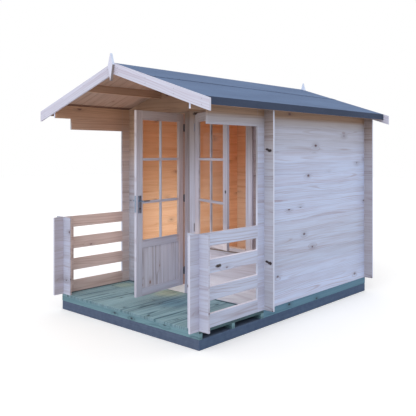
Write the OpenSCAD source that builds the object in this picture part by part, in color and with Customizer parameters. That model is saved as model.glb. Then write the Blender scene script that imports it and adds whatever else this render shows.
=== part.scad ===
// Small log cabin with an open veranda: interlocking log walls on a low plinth,
// a gabled felt roof that reaches over the deck, a glazed door and a casement window.
// Millimetres, Z up. The origin is the centre of the plinth's underside and the veranda faces -Y.

/* [Base] */
// Width of the cabin over the outer faces of its side walls
base_w = 1952; // [1800:4:2400]
// Length of the base from the front edge of the deck to the outer face of the back wall
base_l = 2868; // [2400:4:3600]
// Height of the plinth above the ground
plinth_h = 90; // [50:5:160]
// Height of the joists under the veranda deck
joist_h = 48; // [40:2:70]
// Thickness of one veranda joist
joist_t = 40; // [30:2:60]
// Thickness of the deck boards
deck_t = 24; // [18:1:32]
// Width of the bearers under the cabin walls
bearer_t = 45; // [35:5:70]
// Thickness of the floor boards inside the cabin
floor_t = 19; // [15:1:28]

/* [Logs] */
// Height of one log course
log_h = 114; // [108:1:124]
// Thickness of a log
log_t = 19; // [16:1:28]
// Depth of the bevel along each long edge of a log
log_groove = 1.5; // [0.5:0.5:3]
// Length of log left beyond a corner where two walls cross
log_end = 103; // [70:1:140]
// Number of full courses in a side wall
wall_courses = 17; // [17:1:19]
// Extra height of the top side log where it is planed to meet the roof
top_rise = 14; // [8:1:30]
// Height of the tongue along the top of a log
tongue_h = 8; // [5:1:12]
// Thickness of the tongue
tongue_t = 7; // [5:1:10]

/* [Veranda] */
// Depth of the veranda from the front edge of the deck to the front wall
veranda_l = 890; // [760:10:1100]
// Number of courses in the balustrade, an odd number
rail_courses = 7; // [5, 7, 9]
// Reach of the side logs before and behind the cross logs of a balustrade post
post_reach = 108; // [80:1:140]
// Reach of the cross logs of a balustrade post into the veranda
post_inner = 116; // [80:1:150]
// Distance by which the lower beam log ends behind the upper one
beam_step = 200; // [100:10:400]

/* [Roof] */
// Slope of the roof in degrees
roof_pitch = 18.25; // [15:0.25:24]
// Reach of the roof covering beyond the side walls
eave_reach = 161; // [140:1:220]
// Reach of the roof boards before the front edge of the base
front_reach = 100; // [60:5:200]
// Reach of the roof boards behind the back wall
back_reach = 150; // [120:5:250]
// Thickness of the roof boards
board_t = 16; // [12:1:20]
// Thickness of the felt
felt_t = 3; // [2:0.5:5]
// Height of the felt band folded down over the eave
eave_band = 65; // [50:1:90]
// Thickness of the batten behind the felt band
batten_t = 20; // [15:1:30]
// Distance from the ridge to the lower edge of the ridge felt
felt_lap_x = 510; // [460:5:600]
// Width by which the ridge felt covers the lower sheets
felt_lap = 60; // [40:5:100]
// Thickness of a purlin
purlin_t = 45; // [35:1:60]
// Distance from the centre to the inner face of a side purlin
purlin_x = 425; // [350:5:550]
// Height of a side purlin at its inner face
purlin_h = 76; // [60:1:110]
// Height of the ridge purlin
ridge_purlin_h = 75; // [60:1:110]
// Thickness of the barge boards
barge_t = 20; // [15:1:30]
// Width of the barge boards across their grain
barge_w = 97; // [80:1:130]
// Reach of a barge board beyond the felt
barge_reach = 60; // [30:1:100]
// Width of the plumb joint between two boards that meet at the ridge
ridge_joint = 0.6; // [0.4:0.1:0.8]
// Play between the layers of the roof and what they lie on
seat_play = 0.05; // [0.03:0.01:0.2]
// Width of a finial at its widest point
finial_w = 66; // [40:1:80]
// Thickness of a finial
finial_t = 27; // [15:1:30]
// Height of a finial's tip above the ridge
finial_up = 85; // [50:1:120]
// Drop from the ridge to a finial's widest point
finial_mid = 22; // [10:1:40]
// Drop from the ridge to a finial's lower point
finial_down = 171; // [120:1:220]

/* [Frames] */
// Distance by which the frames stand before the log wall
frame_proud = 20; // [10:1:30]
// Depth of the frames from front to back
frame_depth = 55; // [50:1:80]
// Width of a door jamb
frame_w = 45; // [35:1:60]
// Width of the stop behind a closed leaf
stop_w = 12; // [8:1:18]
// Thickness of the head over the door and the window
head_t = 17; // [12:1:40]
// Thickness of the door leaf and of the window sash
leaf_t = 28; // [24:1:34]
// Height of the top edge of both leaves above the deck
leaf_top = 1873; // [1800:1:1880]
// Play between a leaf and its frame
leaf_gap = 6; // [5:0.5:8]
// Height of the threshold above the deck
threshold_h = 83; // [60:1:110]

/* [Door] */
// Distance of the door's hinge pins to the right of the centre line
door_pin_x = -47; // [-60:1:-40]
// Width of the door leaf
door_w = 714; // [640:1:740]
// Angle by which the door stands open
door_angle = 96; // [0:1:145]
// Play under the door leaf
door_lift = 8; // [6:1:12]
// Width of the stile that carries the lock
lock_stile = 84; // [70:1:110]
// Width of the stile that carries the hinges
hinge_stile = 68; // [60:1:100]
// Height of the top rail
top_rail = 81; // [60:1:110]
// Height of the middle rail
middle_rail = 65; // [50:1:100]
// Height of the bottom rail
bottom_rail = 72; // [60:1:140]
// Height of the lower edge of the door glass above the deck
door_glass_z = 616; // [500:1:800]
// Thickness of the boarded panel in the lower half of the door
panel_t = 14; // [10:1:18]
// Thickness of the glass
glass_t = 4; // [3:1:6]

/* [Window] */
// Distance from the centre line to the left side of the window opening
window_x = 97; // [90:1:130]
// Width of the window opening
window_w = 674; // [560:1:680]
// Width of the post on the right of the window
window_post_w = 76; // [50:1:90]
// Width of the recess between the door frame and the middle post
post_recess_w = 8; // [5:1:12]
// Depth of that recess
post_recess_t = 8; // [4:1:12]
// Height of the top of the sill above the deck
sill_z = 545; // [400:1:800]
// Thickness of the sill
sill_t = 35; // [25:1:45]
// Reach of the sill before the frames
sill_reach = 10; // [5:1:30]
// Angle by which the sash stands open
sash_angle = 20; // [0:1:45]
// Width of a sash stile
sash_stile = 70; // [55:1:90]
// Height of the bottom rail of the sash
sash_rail = 77; // [60:1:100]

/* [Fittings] */
// Height of a hinge
hinge_h = 80; // [60:5:100]
// Height of the middle knuckle of a hinge
middle_knuckle = 26; // [20:1:36]
// Play between two knuckles
knuckle_play = 0.5; // [0.3:0.1:0.8]
// Radius of a knuckle
knuckle_r = 5; // [4:0.5:5.5]
// Radius of a hinge pin
pin_r = 2.5; // [2:0.25:3]
// Play around a hinge pin
pin_play = 0.1; // [0.05:0.01:0.1]
// Distance from a hinge pin to the face of the leaf
pin_proud = 6; // [6:0.5:8]
// Thickness of a hinge flap
flap_t = 1.8; // [1.2:0.1:2]
// Width of a hinge flap behind the face of the leaf
flap_w = 22; // [18:1:26]
// Heights of the door hinges above the deck
door_hinges = [238, 993, 1726];
// Heights of the sash hinges above the deck
sash_hinges_z = [700, 1726];
// Distance from the hinge pins to the middle of the handle
handle_a = 673; // [600:1:690]
// Height of the lever above the deck
lever_z = 1005; // [900:1:1100]
// Length of a lever from its spindle
lever_l = 84; // [80:1:130]
// Radius of a lever
lever_r = 8; // [6:0.5:10]
// Distance from the face of the leaf to the middle of a lever
lever_out = 48; // [40:1:60]
// Width of a handle plate
plate_w = 46; // [30:1:50]
// Height of a handle plate
plate_h = 166; // [140:1:220]
// Drop from the top of a handle plate to the lever
plate_top = 51; // [35:1:70]
// Thickness of a handle plate
plate_t = 4; // [3:1:6]

/* [Hidden] */
half_w = base_w / 2;
inner_w = half_w - log_t;
front_y = -base_l / 2;
back_y = base_l / 2;
wall_y = front_y + veranda_l;
deck_z = plinth_h + joist_h + deck_t;
roof_slope = tan(roof_pitch);
wall_top = deck_z + wall_courses * log_h;
ridge_soffit = wall_top + top_rise + half_w * roof_slope;
board_v = board_t / cos(roof_pitch);
felt_v = felt_t / cos(roof_pitch);
ridge_z = ridge_soffit + board_v + seat_play + felt_v;
roof_half = half_w + eave_reach;
board_half = roof_half - felt_t;
band_z = ridge_z - roof_half * roof_slope - eave_band;
roof_y0 = front_y - front_reach;
roof_y1 = back_y + back_reach;
barge_half = roof_half + barge_reach;
barge_v = barge_w / cos(roof_pitch);
bearer_y = wall_y - 10;
post_front_y = front_y - post_reach;
post_back_y = front_y + log_t + post_reach;
stub_y = wall_y - log_end;
gable_courses = wall_courses + ceil((ridge_soffit - wall_top) / log_h);
head_courses = floor((leaf_top + leaf_gap + head_t) / log_h);
leaf_z = deck_z + leaf_top;
head_z = leaf_z + leaf_gap;
frame_top = head_z + head_t;
frame_y0 = wall_y - frame_proud;
frame_y1 = frame_y0 + frame_depth;
stop_y = frame_y0 + leaf_t + 5;
pin_y = frame_y0 - pin_proud;
door_x1 = door_pin_x + leaf_gap / 2;
door_x0 = door_x1 - door_w - 2 * leaf_gap;
leaf_in = leaf_gap / 2;
door_out = leaf_in + door_w;
door_z = deck_z + threshold_h + door_lift;
panel_top = deck_z + door_glass_z - middle_rail;
window_x1 = window_x + window_w;
sash_w = window_w - 2 * leaf_gap;
sash_out = leaf_in + sash_w;
sill_top = deck_z + sill_z;
sash_z = sill_top + leaf_gap;
sash_pin_x = window_x + leaf_in;
end_knuckle = (hinge_h - middle_knuckle) / 2 - knuckle_play;

function course_z(n) = deck_z + n * log_h;
function soffit(x) = ridge_soffit - abs(x) * roof_slope;
function board_top(x) = soffit(x) + board_v;
function felt_bottom(x) = board_top(x) + seat_play;
function felt_top(x) = felt_bottom(x) + felt_v;
function lap_bottom(x) = felt_top(x) + seat_play;
function turned(points) = [for (i = [len(points) - 1 : -1 : 0]) points[i]];

// One face of a stack of logs, with a shallow V between courses
function log_face(face, inward, n0, n1, top) = [
    for (i = [n0 : n1 - 1]) each [
        [face + inward, course_z(i)],
        [face, course_z(i) + log_groove],
        [face, i == n1 - 1 ? top : course_z(i + 1) - log_groove]
    ]];

// Section of a stack of logs whose outer face is at 0 and inner face at log_t
module log_stack(n0, n1, top) {
    polygon(concat(log_face(0, log_groove, n0, n1, top),
                   turned(log_face(log_t, -log_groove, n0, n1, top))));
}

module along_y(y0, y1) {
    translate([0, y1, 0]) rotate([90, 0, 0]) linear_extrude(y1 - y0) children();
}

module along_x(x0, x1) {
    translate([x0, 0, 0]) rotate([90, 0, 90]) linear_extrude(x1 - x0) children();
}

module upright(z0, z1) {
    translate([0, 0, z0]) linear_extrude(z1 - z0) children();
}

module both_sides() {
    children();
    mirror([1, 0, 0]) children();
}

// Everything below the roof boards
module under_roof() {
    eave = soffit(roof_half) - seat_play;
    polygon([[-roof_half, 0], [roof_half, 0], [roof_half, eave],
             [0, ridge_soffit - seat_play], [-roof_half, eave]]);
}

// Logs of the right side wall between two planes across the building
module side_logs(y0, y1, n0, n1, top) {
    along_y(y0, y1) intersection() {
        translate([inner_w, 0]) log_stack(n0, n1, top);
        under_roof();
    }
}

// Logs that run across the building with their outer face at y
module cross_logs(x0, x1, y, n0, n1, top) {
    along_x(x0, x1) translate([y, 0]) log_stack(n0, n1, top);
}

// Square purlins, taller than they end up: the roof's underside cuts them to shape
module purlin_squares(top) {
    ridge_bottom = ridge_soffit - ridge_purlin_h;
    side_bottom = soffit(purlin_x) - purlin_h;
    translate([-purlin_t / 2, ridge_bottom]) square([purlin_t, top - ridge_bottom]);
    both_sides() translate([purlin_x, side_bottom]) square([purlin_t, top - side_bottom]);
}

module purlin_section(x0, x1) {
    intersection() {
        purlin_squares(ridge_z);
        under_roof();
        translate([x0, 0]) square([x1 - x0, ridge_z]);
    }
}

// The base: a solid plinth, bearers and joists on it, then the boards
module base_plinth() {
    color("#4A5870")
    translate([-half_w, front_y, 0])
        cube([base_w, base_l, plinth_h]);
}

module cabin_bearers() {
    inside_l = back_y - bearer_y - 2 * bearer_t;
    bay = (inside_l - bearer_t) / 2;
    color("#6A9097")
    difference() {
        translate([-half_w, bearer_y, plinth_h])
            cube([base_w, back_y - bearer_y, deck_z - plinth_h]);
        for (i = [0 : 1])
            translate([-half_w + bearer_t, bearer_y + bearer_t + i * (bay + bearer_t), plinth_h])
                cube([base_w - 2 * bearer_t, bay, deck_z - plinth_h]);
    }
}

module veranda_joists() {
    deck_l = bearer_y - front_y;
    color("#6A9097")
    for (i = [0 : 2])
        translate([-half_w, front_y + i * (deck_l - joist_t) / 2, plinth_h])
            cube([base_w, joist_t, joist_h]);
}

module veranda_deck() {
    color("#6F989D")
    translate([-half_w, front_y, deck_z - deck_t])
        cube([base_w, bearer_y - front_y, deck_t]);
}

module cabin_floor() {
    color("#C98F62")
    translate([-inner_w, frame_y1, deck_z])
        cube([2 * inner_w, back_y - log_t - frame_y1, floor_t]);
}

// Log walls
module side_wall_right() {
    color("#CBCBDA")
    side_logs(stub_y, back_y + log_end, 0, wall_courses, wall_top + log_h);
}

module side_wall_left() {
    mirror([1, 0, 0]) side_wall_right();
}

module side_beam_right() {
    color("#CBCBDA") {
        side_logs(roof_y0, stub_y, wall_courses - 1, wall_courses, wall_top + log_h);
        side_logs(roof_y0 + beam_step, stub_y, wall_courses - 2, wall_courses - 1,
                  course_z(wall_courses - 1));
    }
}

module side_beam_left() {
    mirror([1, 0, 0]) side_beam_right();
}

module rails_right() {
    color("#CBCBDA")
    for (i = [0 : 2 : rail_courses - 1]) {
        side_logs(post_back_y, stub_y, i, i + 1, course_z(i + 1));
        if (i < rail_courses - 1)
            translate([inner_w + (log_t - tongue_t) / 2, post_back_y, course_z(i + 1)])
                cube([tongue_t, stub_y - post_back_y, tongue_h]);
    }
}

module rails_left() {
    mirror([1, 0, 0]) rails_right();
}

module front_post_right() {
    color("#CBCBDA") {
        side_logs(post_front_y, post_back_y, 0, rail_courses, course_z(rail_courses));
        cross_logs(inner_w - post_inner, half_w + log_end, front_y, 0, rail_courses,
                   course_z(rail_courses));
    }
}

module front_post_left() {
    mirror([1, 0, 0]) front_post_right();
}

module gable_outline(half) {
    difference() {
        intersection() {
            translate([-half, 0]) square([2 * half, ridge_z]);
            under_roof();
        }
        purlin_squares(ridge_z + log_h);
    }
}

module back_wall() {
    color("#CBCBDA")
    intersection() {
        cross_logs(-inner_w, inner_w, back_y - log_t, 0, gable_courses, course_z(gable_courses));
        along_y(back_y - log_t, back_y) gable_outline(inner_w);
    }
}

module front_gable() {
    color("#CBCBDA")
    intersection() {
        along_x(-inner_w, inner_w) translate([wall_y, 0]) intersection() {
            log_stack(head_courses, gable_courses, course_z(gable_courses));
            translate([0, frame_top]) square([log_t, ridge_z - frame_top]);
        }
        along_y(wall_y, wall_y + log_t) gable_outline(inner_w);
    }
}

module front_wall_left() {
    color("#CBCBDA")
    cross_logs(-inner_w, door_x0 - frame_w, wall_y, 0, head_courses + 1, frame_top);
}

module front_wall_right() {
    color("#CBCBDA")
    cross_logs(window_x1 + window_post_w, inner_w, wall_y, 0, head_courses + 1, frame_top);
}

module front_wall_below_window() {
    sill_courses = floor((sill_z - sill_t) / log_h);
    color("#CBCBDA")
    cross_logs(window_x, window_x1 + window_post_w, wall_y, 0, sill_courses + 1,
               sill_top - sill_t);
}

// Ends of the cross logs beyond the side walls
module log_ends(y) {
    both_sides() intersection() {
        cross_logs(half_w, half_w + log_end, y, 0, wall_courses, wall_top + log_h);
        along_y(y, y + log_t) under_roof();
    }
}

module front_log_ends() {
    color("#CBCBDA") log_ends(wall_y);
}

module back_log_ends() {
    color("#CBCBDA") log_ends(back_y - log_t);
}

// Roof
module ridge_purlin() {
    color("#C39A76") along_y(roof_y0, roof_y1) purlin_section(-purlin_t, purlin_t);
}

module side_purlins() {
    color("#C39A76")
    both_sides() along_y(roof_y0, roof_y1) purlin_section(purlin_t, half_w);
}

module roof_boards() {
    joint = ridge_joint / 2;
    color("#C39A76")
    both_sides() along_y(roof_y0, roof_y1)
        polygon([[joint, soffit(joint)], [board_half, soffit(board_half)],
                 [board_half, board_top(board_half)], [joint, board_top(joint)]]);
}

module eave_battens() {
    color("#C39A76")
    both_sides() along_y(roof_y0, roof_y1) intersection() {
        translate([board_half - batten_t, band_z]) square([batten_t, ridge_z - band_z]);
        under_roof();
    }
}

module felt_sheets() {
    top_x = felt_lap_x - felt_lap;
    color("#6B80A2")
    both_sides() along_y(roof_y0, roof_y1)
        polygon([[top_x, felt_bottom(top_x)], [board_half, felt_bottom(board_half)],
                 [board_half, band_z], [roof_half, band_z],
                 [roof_half, felt_top(roof_half)], [top_x, felt_top(top_x)]]);
}

module felt_ridge() {
    top_x = felt_lap_x - felt_lap;
    step_x = top_x - felt_t;
    under_x = top_x - seat_play;
    side = [[under_x, felt_bottom(under_x)], [under_x, lap_bottom(under_x)],
            [felt_lap_x, lap_bottom(felt_lap_x)], [felt_lap_x, lap_bottom(felt_lap_x) + felt_v],
            [step_x, lap_bottom(step_x) + felt_v], [step_x, felt_top(step_x)]];
    color("#6B80A2")
    along_y(roof_y0, roof_y1)
        polygon(concat([[0, felt_bottom(0)]], side, [[0, felt_top(0)]],
                       [for (p = turned(side)) [-p[0], p[1]]]));
}

module barge_boards(y0) {
    joint = ridge_joint / 2;
    both_sides() along_y(y0, y0 + barge_t)
        polygon([[joint, felt_top(joint)], [joint, felt_top(joint) - barge_v],
                 [barge_half, felt_top(barge_half) - barge_v], [barge_half, felt_top(barge_half)]]);
}

module barge_boards_front() {
    color("#D6D7E8") barge_boards(roof_y0 - barge_t);
}

module barge_boards_back() {
    color("#D6D7E8") barge_boards(roof_y1);
}

module finials() {
    color("#D6D7E8")
    for (y = [roof_y0 - barge_t - finial_t, roof_y1 + barge_t])
        along_y(y, y + finial_t)
            polygon([[0, ridge_z + finial_up], [finial_w / 2, ridge_z - finial_mid],
                     [0, ridge_z - finial_down], [-finial_w / 2, ridge_z - finial_mid]]);
}

// Frames of the door and the window
module door_jambs() {
    color("#C4C3D0") {
        upright(deck_z, frame_top)
            polygon([[door_x1, frame_y0], [door_x1 + frame_w, frame_y0],
                     [door_x1 + frame_w, frame_y1], [door_x1 - stop_w, frame_y1],
                     [door_x1 - stop_w, stop_y], [door_x1, stop_y]]);
        upright(deck_z, frame_top)
            polygon([[door_x0 - frame_w, frame_y0], [door_x0, frame_y0], [door_x0, stop_y],
                     [door_x0 + stop_w, stop_y], [door_x0 + stop_w, frame_y1],
                     [door_x0 - frame_w, frame_y1]]);
    }
}

// Head between two posts, with the stop behind the leaf
module frame_head(x0, x1) {
    translate([x0, frame_y0, head_z])
        cube([x1 - x0, stop_y - frame_y0, head_t]);
    translate([x0 + stop_w, stop_y, head_z - stop_w])
        cube([x1 - x0 - 2 * stop_w, frame_y1 - stop_y, head_t + stop_w]);
}

module frame_heads() {
    color("#C4C3D0") {
        frame_head(door_x0, door_x1);
        frame_head(window_x, window_x1);
    }
}

module door_threshold() {
    color("#D2CFDA")
    upright(deck_z, deck_z + threshold_h)
        polygon([[door_x0, frame_y0], [door_x1, frame_y0], [door_x1, stop_y],
                 [door_x1 - stop_w, stop_y], [door_x1 - stop_w, frame_y1],
                 [door_x0 + stop_w, frame_y1], [door_x0 + stop_w, stop_y], [door_x0, stop_y]]);
}

module window_posts() {
    post_x = door_x1 + frame_w;
    recess_y = frame_y0 + post_recess_t;
    color("#C4C3D0") {
        upright(deck_z, frame_top)
            polygon([[post_x, recess_y], [post_x + post_recess_w, recess_y],
                     [post_x + post_recess_w, frame_y0], [window_x, frame_y0],
                     [window_x, frame_y1], [post_x, frame_y1]]);
        upright(sill_top - sill_t, frame_top)
            translate([window_x, stop_y]) square([stop_w, frame_y1 - stop_y]);
        upright(sill_top - sill_t, frame_top)
            polygon([[window_x1, frame_y0], [window_x1 + window_post_w, frame_y0],
                     [window_x1 + window_post_w, frame_y1], [window_x1 - stop_w, frame_y1],
                     [window_x1 - stop_w, stop_y], [window_x1, stop_y]]);
    }
}

module window_sill() {
    color("#C4C3D0")
    upright(sill_top - sill_t, sill_top)
        polygon([[window_x, frame_y0 - sill_reach], [window_x1, frame_y0 - sill_reach],
                 [window_x1, stop_y], [window_x1 - stop_w, stop_y],
                 [window_x1 - stop_w, frame_y1], [window_x + stop_w, frame_y1],
                 [window_x + stop_w, stop_y], [window_x, stop_y]]);
}

// A hinged leaf is drawn closed with its pins on the Z axis, then turned and put in place.
// It reaches along -X from its pins; the sash is the mirror image.
module door_place() {
    translate([door_pin_x, pin_y, 0]) rotate([0, 0, door_angle]) children();
}

module sash_place() {
    translate([sash_pin_x, pin_y, 0]) rotate([0, 0, -sash_angle]) mirror([1, 0, 0]) children();
}

module leaf_slab(a0, a1, z0, z1, in, t) {
    translate([-a1, pin_proud + in, z0]) cube([a1 - a0, t, z1 - z0]);
}

module door_frame() {
    color("#C6C5D3")
    door_place() difference() {
        leaf_slab(leaf_in, door_out, door_z, leaf_z, 0, leaf_t);
        leaf_slab(leaf_in + hinge_stile, door_out - lock_stile, deck_z + door_glass_z,
                  leaf_z - top_rail, 0, leaf_t);
        leaf_slab(leaf_in + hinge_stile, door_out - lock_stile, door_z + bottom_rail,
                  panel_top, 0, leaf_t);
    }
}

module door_panel() {
    color("#B9B3C0")
    door_place()
        leaf_slab(leaf_in + hinge_stile, door_out - lock_stile, door_z + bottom_rail, panel_top,
                  (leaf_t - panel_t) / 2, panel_t);
}

module door_glass() {
    color("#DDE8EC", 0.3)
    door_place()
        leaf_slab(leaf_in + hinge_stile, door_out - lock_stile, deck_z + door_glass_z,
                  leaf_z - top_rail, (leaf_t - glass_t) / 2, glass_t);
}

module sash_frame() {
    color("#C6C5D3")
    sash_place() difference() {
        leaf_slab(leaf_in, sash_out, sash_z, leaf_z, 0, leaf_t);
        leaf_slab(leaf_in + sash_stile, sash_out - sash_stile, sash_z + sash_rail,
                  leaf_z - top_rail, 0, leaf_t);
    }
}

module sash_glass() {
    color("#DDE8EC", 0.3)
    sash_place()
        leaf_slab(leaf_in + sash_stile, sash_out - sash_stile, sash_z + sash_rail,
                  leaf_z - top_rail, (leaf_t - glass_t) / 2, glass_t);
}

// Flap of a hinge, lying against the edge at x = leaf_in when drawn on that side
module hinge_flap(z0, z1, reach) {
    translate([leaf_in - flap_t, reach, z0]) cube([flap_t, pin_proud + flap_w - reach, z1 - z0]);
}

// The half on the frame: two end knuckles, the pin and a flap
module hinge_frame_half(z) {
    low = z - hinge_h / 2;
    high = z + hinge_h / 2;
    clear = knuckle_r + knuckle_play;
    translate([0, 0, low]) cylinder(h = end_knuckle, r = knuckle_r, $fn = 48);
    translate([0, 0, high - end_knuckle]) cylinder(h = end_knuckle, r = knuckle_r, $fn = 48);
    translate([0, 0, low]) cylinder(h = hinge_h, r = pin_r, $fn = 48);
    hinge_flap(low, low + end_knuckle, 0);
    hinge_flap(low, high, clear);
    hinge_flap(high - end_knuckle, high, 0);
}

// The half on the leaf: the middle knuckle and a flap
module hinge_leaf_half(z) {
    low = z - hinge_h / 2;
    high = z + hinge_h / 2;
    clear = knuckle_r + knuckle_play;
    difference() {
        union() {
            translate([0, 0, z - middle_knuckle / 2])
                cylinder(h = middle_knuckle, r = knuckle_r, $fn = 48);
            mirror([1, 0, 0]) hinge_flap(z - middle_knuckle / 2, z + middle_knuckle / 2, 0);
            mirror([1, 0, 0]) hinge_flap(low, high, clear);
        }
        translate([0, 0, low]) cylinder(h = hinge_h, r = pin_r + pin_play, $fn = 48);
    }
}

module hinge_frame_halves() {
    color("#3E4249")
    translate([door_pin_x, pin_y, deck_z])
        for (z = door_hinges) hinge_frame_half(z);
}

module hinge_door_halves() {
    color("#3E4249")
    translate([0, 0, deck_z]) door_place()
        for (z = door_hinges) hinge_leaf_half(z);
}

module sash_hinges() {
    color("#3E4249") {
        translate([sash_pin_x, pin_y, deck_z]) mirror([1, 0, 0])
            for (z = sash_hinges_z) hinge_frame_half(z);
        translate([0, 0, deck_z]) sash_place()
            for (z = sash_hinges_z) hinge_leaf_half(z);
    }
}

// Lever handle on a long plate, drawn with the face it stands on at y = 0 and pointing to -Y
module lever_handle() {
    translate([-plate_w / 2, -plate_t, plate_top - plate_h]) cube([plate_w, plate_t, plate_h]);
    rotate([90, 0, 0]) cylinder(h = lever_out, r = lever_r, $fn = 48);
    translate([0, -lever_out, 0]) rotate([0, 90, 0]) cylinder(h = lever_l, r = lever_r, $fn = 48);
    translate([0, -lever_out, 0]) sphere(r = lever_r, $fn = 48);
    translate([lever_l, -lever_out, 0]) sphere(r = lever_r, $fn = 48);
}

module door_handles() {
    color("#5B6B80")
    door_place() translate([-handle_a, pin_proud, deck_z + lever_z]) {
        lever_handle();
        translate([0, leaf_t, 0]) mirror([0, 1, 0]) lever_handle();
    }
}

base_plinth();
cabin_bearers();
veranda_joists();
veranda_deck();
cabin_floor();
side_wall_left();
side_wall_right();
side_beam_left();
side_beam_right();
rails_left();
rails_right();
front_post_left();
front_post_right();
back_wall();
front_wall_left();
front_wall_right();
front_wall_below_window();
front_gable();
front_log_ends();
back_log_ends();
ridge_purlin();
side_purlins();
roof_boards();
eave_battens();
felt_sheets();
felt_ridge();
barge_boards_front();
barge_boards_back();
finials();
door_jambs();
frame_heads();
door_threshold();
window_posts();
window_sill();
sash_frame();
sash_glass();
sash_hinges();
hinge_frame_halves();
door_frame();
door_panel();
door_glass();
hinge_door_halves();
door_handles();
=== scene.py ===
# Small log cabin with an open veranda: interlocking spruce logs on a low plinth, a felt roof,
# a half-glazed door that stands open and a casement window.
import bpy
from math import cos, pi, radians, sin
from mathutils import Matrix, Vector


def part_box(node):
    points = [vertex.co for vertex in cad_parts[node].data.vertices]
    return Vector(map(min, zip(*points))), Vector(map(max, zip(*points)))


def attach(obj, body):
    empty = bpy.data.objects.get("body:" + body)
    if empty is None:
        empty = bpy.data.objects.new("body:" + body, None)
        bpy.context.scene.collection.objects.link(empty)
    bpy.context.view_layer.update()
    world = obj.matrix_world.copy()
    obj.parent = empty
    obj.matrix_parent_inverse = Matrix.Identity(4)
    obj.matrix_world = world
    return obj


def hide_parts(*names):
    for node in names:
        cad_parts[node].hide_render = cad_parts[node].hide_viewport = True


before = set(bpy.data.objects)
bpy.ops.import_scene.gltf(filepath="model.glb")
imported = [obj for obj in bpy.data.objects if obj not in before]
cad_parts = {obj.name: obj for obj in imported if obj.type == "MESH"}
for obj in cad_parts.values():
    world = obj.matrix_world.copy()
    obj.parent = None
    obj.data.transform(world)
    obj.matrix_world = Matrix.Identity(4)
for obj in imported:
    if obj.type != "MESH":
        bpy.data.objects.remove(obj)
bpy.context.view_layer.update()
bpy.ops.object.select_all(action="DESELECT")


# ---- Plinth -------------------------------------------------------------------------------
# A low solid base, cast in a timber shutter and painted slate blue to keep the damp off the
# bearers. Its arrises are eased by the shutter's fillets and its sides keep the board marks.
def linear(hex_colour):
    """A colour written as sRGB hex, as linear red, green, blue and alpha."""
    parts = [int(hex_colour[i:i + 2], 16) / 255 for i in (1, 3, 5)]
    return [c / 12.92 if c <= 0.04045 else ((c + 0.055) / 1.055) ** 2.4 for c in parts] + [1.0]


def add(tree, kind, feeds=None, **settings):
    """Adds a node of a kind. Settings go on the node; feeds go to its sockets, as values or as
    links from a socket or from the first output of a node. Sockets 6 and 7 of a Mix node set
    to RGBA are its two colours, and output 2 the result."""
    made = tree.nodes.new("ShaderNode" + kind)
    for key, value in settings.items():
        setattr(made, key, value)
    for key, value in (feeds or {}).items():
        if isinstance(value, bpy.types.Node):
            value = value.outputs[0]
        if isinstance(value, bpy.types.NodeSocket):
            tree.links.new(value, made.inputs[key])
        else:
            made.inputs[key].default_value = value
    return made


def finish_of(name, roughness, metallic=0.0, ior=1.5):
    """A new material with one Principled shader: gives the material, its tree and the shader."""
    material = bpy.data.materials.new(name)
    material.use_nodes = True
    shader = material.node_tree.nodes["Principled BSDF"]
    shader.inputs["Roughness"].default_value = roughness
    shader.inputs["Metallic"].default_value = metallic
    shader.inputs["IOR"].default_value = ior
    return material, material.node_tree, shader


def settled(name):
    """Makes a new primitive's place, turn and size part of its mesh, and names it."""
    made = bpy.context.object
    bpy.ops.object.transform_apply(location=True, rotation=True, scale=True)
    made.name = made.data.name = name
    return made


def sawn(name, low, high):
    """A sawn block between two corners, its edges left sharp to be worked on."""
    bpy.ops.object.select_all(action="DESELECT")
    bpy.ops.mesh.primitive_cube_add(size=1, location=[(a + b) / 2 for a, b in zip(low, high)],
                                    scale=[b - a for a, b in zip(low, high)])
    return settled(name)


def block(name, low, high, ease, steps=1):
    """A sawn block with all its edges eased by a small bevel."""
    made = sawn(name, low, high)
    bpy.ops.object.mode_set(mode="EDIT")
    bpy.ops.mesh.select_all(action="SELECT")
    bpy.ops.mesh.bevel(offset=ease, segments=steps, affect="EDGES")
    bpy.ops.object.mode_set(mode="OBJECT")
    return made


def coat(piece, material):
    """Gives a new piece its only material."""
    piece.data.materials.clear()
    piece.data.materials.append(material)


def coat_nodes(material, *names):
    """Gives CAD nodes a material in all their slots."""
    for name in names:
        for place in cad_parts[name].material_slots:
            place.material = material


def fit(piece, material, body, slot, *nodes):
    """Gives a finished piece its only material and mounts it on its body, in place of the CAD
    nodes it stands for."""
    coat(piece, material)
    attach(piece, body)
    if nodes:
        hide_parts(*nodes)


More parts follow.
